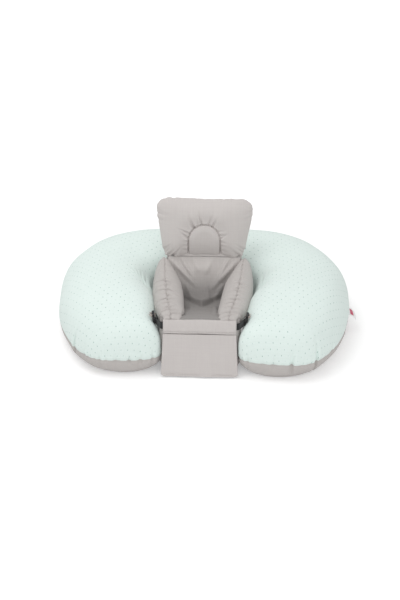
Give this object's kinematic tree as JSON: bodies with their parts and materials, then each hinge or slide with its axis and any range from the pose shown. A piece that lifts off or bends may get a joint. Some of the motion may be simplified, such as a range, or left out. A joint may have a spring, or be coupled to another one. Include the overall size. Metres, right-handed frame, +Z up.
{
  "type": "baby sitting cushion",
  "caption": "Horseshoe-shaped stuffed floor cushion with a removable padded baby seat in its middle, with side wings, a headrest, a strap belt and a front flap.",
  "frame": {"origin": "middle of the part's footprint, on the floor that it lies on", "axes": "+Z up, -Y towards the open front where the arms end, +X to the right in the picture"},
  "size_m": [0.7258, 0.5636, 0.2934],
  "materials": {
    "mint_print": "smooth woven cotton, pale mint with small grey-green pin dots",
    "grey_cotton": "plain woven cotton, warm light grey",
    "fibre_filling": "loose white fibre, out of sight inside the covers",
    "black_webbing": "ribbed woven webbing",
    "black_plastic": "matte moulded plastic",
    "white_label": "white ribbon, blank, with one plain crimson stripe",
    "zip_tape": "woven tape dyed like the cover",
    "zip_plastic": "matte white nylon"
  },
  "bodies": {
    "cushion": {"cushion_top_cover": "mint_print", "cushion_base_cover": "grey_cotton", "cushion_filling": "fibre_filling", "side_label": "white_label", "strap_loop_left": "grey_cotton", "strap_loop_right": "grey_cotton", "zip_tape_upper": "zip_tape", "zip_tape_lower": "zip_tape", "zip_coil": "zip_plastic", "zip_stop_left": "zip_plastic", "zip_stop_right": "zip_plastic"},
    "seat": {"seat_panel": "grey_cotton", "back_panel": "grey_cotton", "seat_core": "fibre_filling", "seat_bottom": "grey_cotton", "seat_front_panel": "grey_cotton", "seat_rear_panel": "grey_cotton", "gusset_left": "grey_cotton", "gusset_right": "grey_cotton", "wing_left_inner": "grey_cotton", "wing_left_outer": "grey_cotton", "wing_left_filling": "fibre_filling", "wing_right_inner": "grey_cotton", "wing_right_outer": "grey_cotton", "wing_right_filling": "fibre_filling", "belt_casing": "grey_cotton", "belt_webbing": "black_webbing", "strap_hook_left": "black_plastic", "strap_hook_right": "black_plastic"},
    "headrest": {"headrest_front": "grey_cotton", "headrest_back": "grey_cotton", "neck_panel": "grey_cotton", "headrest_filling": "fibre_filling"},
    "front_flap": {"flap_face": "grey_cotton", "flap_lining": "grey_cotton"},
    "zip_slider": {"zip_slider": "zip_plastic"},
    "zip_pull": {"zip_pull": "zip_plastic"}
  },
  "joints": [
    {"name": "seat_lift", "type": "slide", "parent": "cushion", "child": "seat", "axis": [0, 0, 1], "range_m": [0, 0.25]},
    {"name": "headrest_fold", "type": "hinge", "parent": "seat", "child": "headrest", "pos_m": [0, 0.03333, 0.15509], "axis": [1, 0, 0], "range_deg": [-35, 50]},
    {"name": "flap_lift", "type": "hinge", "parent": "seat", "child": "front_flap", "pos_m": [0, -0.25016, 0.09701], "axis": [-1, 0, 0], "range_deg": [0, 95]},
    {"name": "zip_slide", "type": "slide", "parent": "cushion", "child": "zip_slider", "axis": [1, 0, 0], "range_m": [0, 0.13]},
    {"name": "zip_pull_flip", "type": "hinge", "parent": "zip_slider", "child": "zip_pull", "pos_m": [-0.065, 0.27967, 0.04151], "axis": [0, 0.1045, 0.9945], "range_deg": [0, 180]}
  ]
}
